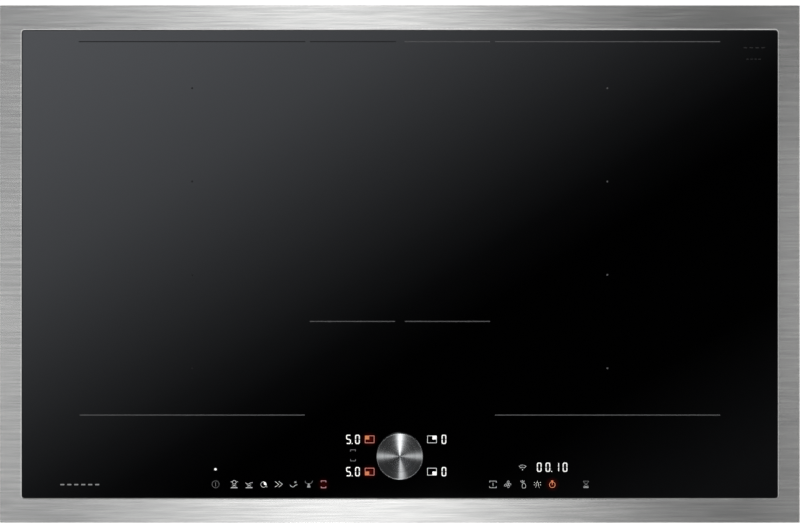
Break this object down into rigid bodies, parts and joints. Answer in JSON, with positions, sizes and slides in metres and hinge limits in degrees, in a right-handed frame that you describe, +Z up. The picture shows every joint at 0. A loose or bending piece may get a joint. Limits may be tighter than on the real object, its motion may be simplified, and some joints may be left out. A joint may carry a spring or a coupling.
{
  "type": "induction cooktop",
  "caption": "Built-in induction cooktop: black glass in a brushed steel frame, lift-off tilting knob, touch controls, coils, cooling fans and sprung side clips.",
  "frame": {"origin": "centre of the overall box, on the underside of the case (z = 0)", "axes": "+X to the right along the long side, +Y to the back of the worktop (the knob is on the -Y side), +Z up out of the glass"},
  "size_m": [0.804, 0.52, 0.0715],
  "materials": {
    "brushed_steel": "long grain running left to right, satin",
    "turned_steel": "circular turned grain, satin",
    "black_glass": "opaque black glass ceramic, polished",
    "black_silicone": "matt sealant",
    "sealing_foam": "closed-cell foam tape",
    "coated_steel": "black powder coat",
    "galvanised_steel": "galvanised sheet, faint spangle",
    "zinc_screws": "zinc plated",
    "zinc_plate": "zinc plated sheet",
    "spring_steel": "plain spring steel",
    "black_rubber": "matt moulded rubber",
    "sheet_aluminium": "rolled sheet",
    "cast_aluminium": "extruded, bead-blasted",
    "white_plastic": "moulded, fine texture",
    "black_plastic": "moulded, fine texture",
    "bearing_plastic": "low-friction plastic",
    "coil_former_plastic": "glass-filled, matt",
    "ferrite": "sintered, matt",
    "copper_litz": "lacquered copper strand",
    "sensor_ceramic": "unglazed",
    "mica_sheet": "pressed mica sheet",
    "circuit_board": "solder mask",
    "device_resin": "moulded resin",
    "capacitor_shell": "potted box",
    "display_panel": "smoked window",
    "conductive_foam": "conductive foam",
    "ribbon_cable": "flat ribbon",
    "magnet": "nickel plated"
  },
  "bodies": {
    "hob": {"trim_frame": "brushed_steel", "glass_plate": "black_glass", "glass_joint_seal": "black_silicone", "worktop_gasket": "sealing_foam", "glass_bond": "black_silicone", "support_frame": "coated_steel", "bottom_case": "galvanised_steel", "case_screws": "zinc_screws", "cable_inlet_bush": "black_rubber", "coil_support_plate": "sheet_aluminium", "support_pillars": "white_plastic", "inner_screws": "zinc_screws", "left_coil_carrier": "sheet_aluminium", "right_coil_carrier": "sheet_aluminium", "centre_coil_carrier": "sheet_aluminium", "carrier_springs": "spring_steel", "coil_formers": "coil_former_plastic", "ferrite_bars": "ferrite", "left_coil_windings": "copper_litz", "right_coil_windings": "copper_litz", "centre_coil_left": "copper_litz", "centre_coil_right": "copper_litz", "temperature_sensors": "sensor_ceramic", "insulation_mats": "mica_sheet", "left_electronics_tray": "black_plastic", "right_electronics_tray": "black_plastic", "left_power_board": "circuit_board", "right_power_board": "circuit_board", "left_heatsink": "cast_aluminium", "right_heatsink": "cast_aluminium", "power_transistors": "device_resin", "resonant_capacitors": "capacitor_shell", "filter_board": "circuit_board", "filter_chokes": "copper_litz", "mains_terminal_block": "white_plastic", "left_fan_housing": "black_plastic", "right_fan_housing": "black_plastic", "fan_stators": "copper_litz", "control_tray": "black_plastic", "control_board": "circuit_board", "light_guide_frame": "white_plastic", "display_modules": "display_panel", "knob_sensor_ring": "circuit_board", "touch_key_springs": "conductive_foam", "control_ribbon": "ribbon_cable", "leaf_brackets": "zinc_plate"},
    "left_fan": {"left_fan_rotor": "black_plastic"},
    "right_fan": {"right_fan_rotor": "black_plastic"},
    "knob_base": {"knob_foot": "coated_steel"},
    "knob_gimbal": {"knob_rocker": "bearing_plastic"},
    "knob_bearing": {"knob_yoke": "bearing_plastic"},
    "knob_grip": {"knob_cap": "turned_steel", "knob_magnet_ring": "magnet", "knob_retainer": "bearing_plastic"},
    "left_front_spring": {"left_front_leaf": "spring_steel"},
    "left_back_spring": {"left_back_leaf": "spring_steel"},
    "right_front_spring": {"right_front_leaf": "spring_steel"},
    "right_back_spring": {"right_back_leaf": "spring_steel"}
  },
  "joints": [
    {"name": "knob_lift", "type": "slide", "parent": "hob", "child": "knob_base", "axis": [0, 0, 1], "range_m": [0, 0.05]},
    {"name": "knob_rock_fore_aft", "type": "hinge", "parent": "knob_base", "child": "knob_gimbal", "pos_m": [0, -0.1926, 0.063], "axis": [1, 0, 0], "range_deg": [-2, 2], "stiffness_Nm_per_rad": 1},
    {"name": "knob_rock_sideways", "type": "hinge", "parent": "knob_gimbal", "child": "knob_bearing", "pos_m": [0, -0.1926, 0.063], "axis": [0, 1, 0], "range_deg": [-2, 2], "stiffness_Nm_per_rad": 1},
    {"name": "knob_turn", "type": "hinge", "parent": "knob_bearing", "child": "knob_grip", "pos_m": [0, -0.1926, 0.063], "axis": [0, 0, 1], "continuous": true},
    {"name": "left_fan_spin", "type": "hinge", "parent": "hob", "child": "left_fan", "pos_m": [-0.118, -0.06, 0.012], "axis": [0, 0, 1], "continuous": true},
    {"name": "right_fan_spin", "type": "hinge", "parent": "hob", "child": "right_fan", "pos_m": [0.118, -0.06, 0.012], "axis": [0, 0, 1], "continuous": true},
    {"name": "left_front_leaf_flex", "type": "hinge", "parent": "hob", "child": "left_front_spring", "pos_m": [-0.3865, -0.12, 0.012], "axis": [0, 1, 0], "range_deg": [0, 5], "stiffness_Nm_per_rad": 4},
    {"name": "left_back_leaf_flex", "type": "hinge", "parent": "hob", "child": "left_back_spring", "pos_m": [-0.3865, 0.12, 0.012], "axis": [0, 1, 0], "range_deg": [0, 5], "stiffness_Nm_per_rad": 4},
    {"name": "right_front_leaf_flex", "type": "hinge", "parent": "hob", "child": "right_front_spring", "pos_m": [0.3865, -0.12, 0.012], "axis": [0, -1, 0], "range_deg": [0, 5], "stiffness_Nm_per_rad": 4},
    {"name": "right_back_leaf_flex", "type": "hinge", "parent": "hob", "child": "right_back_spring", "pos_m": [0.3865, 0.12, 0.012], "axis": [0, -1, 0], "range_deg": [0, 5], "stiffness_Nm_per_rad": 4}
  ]
}
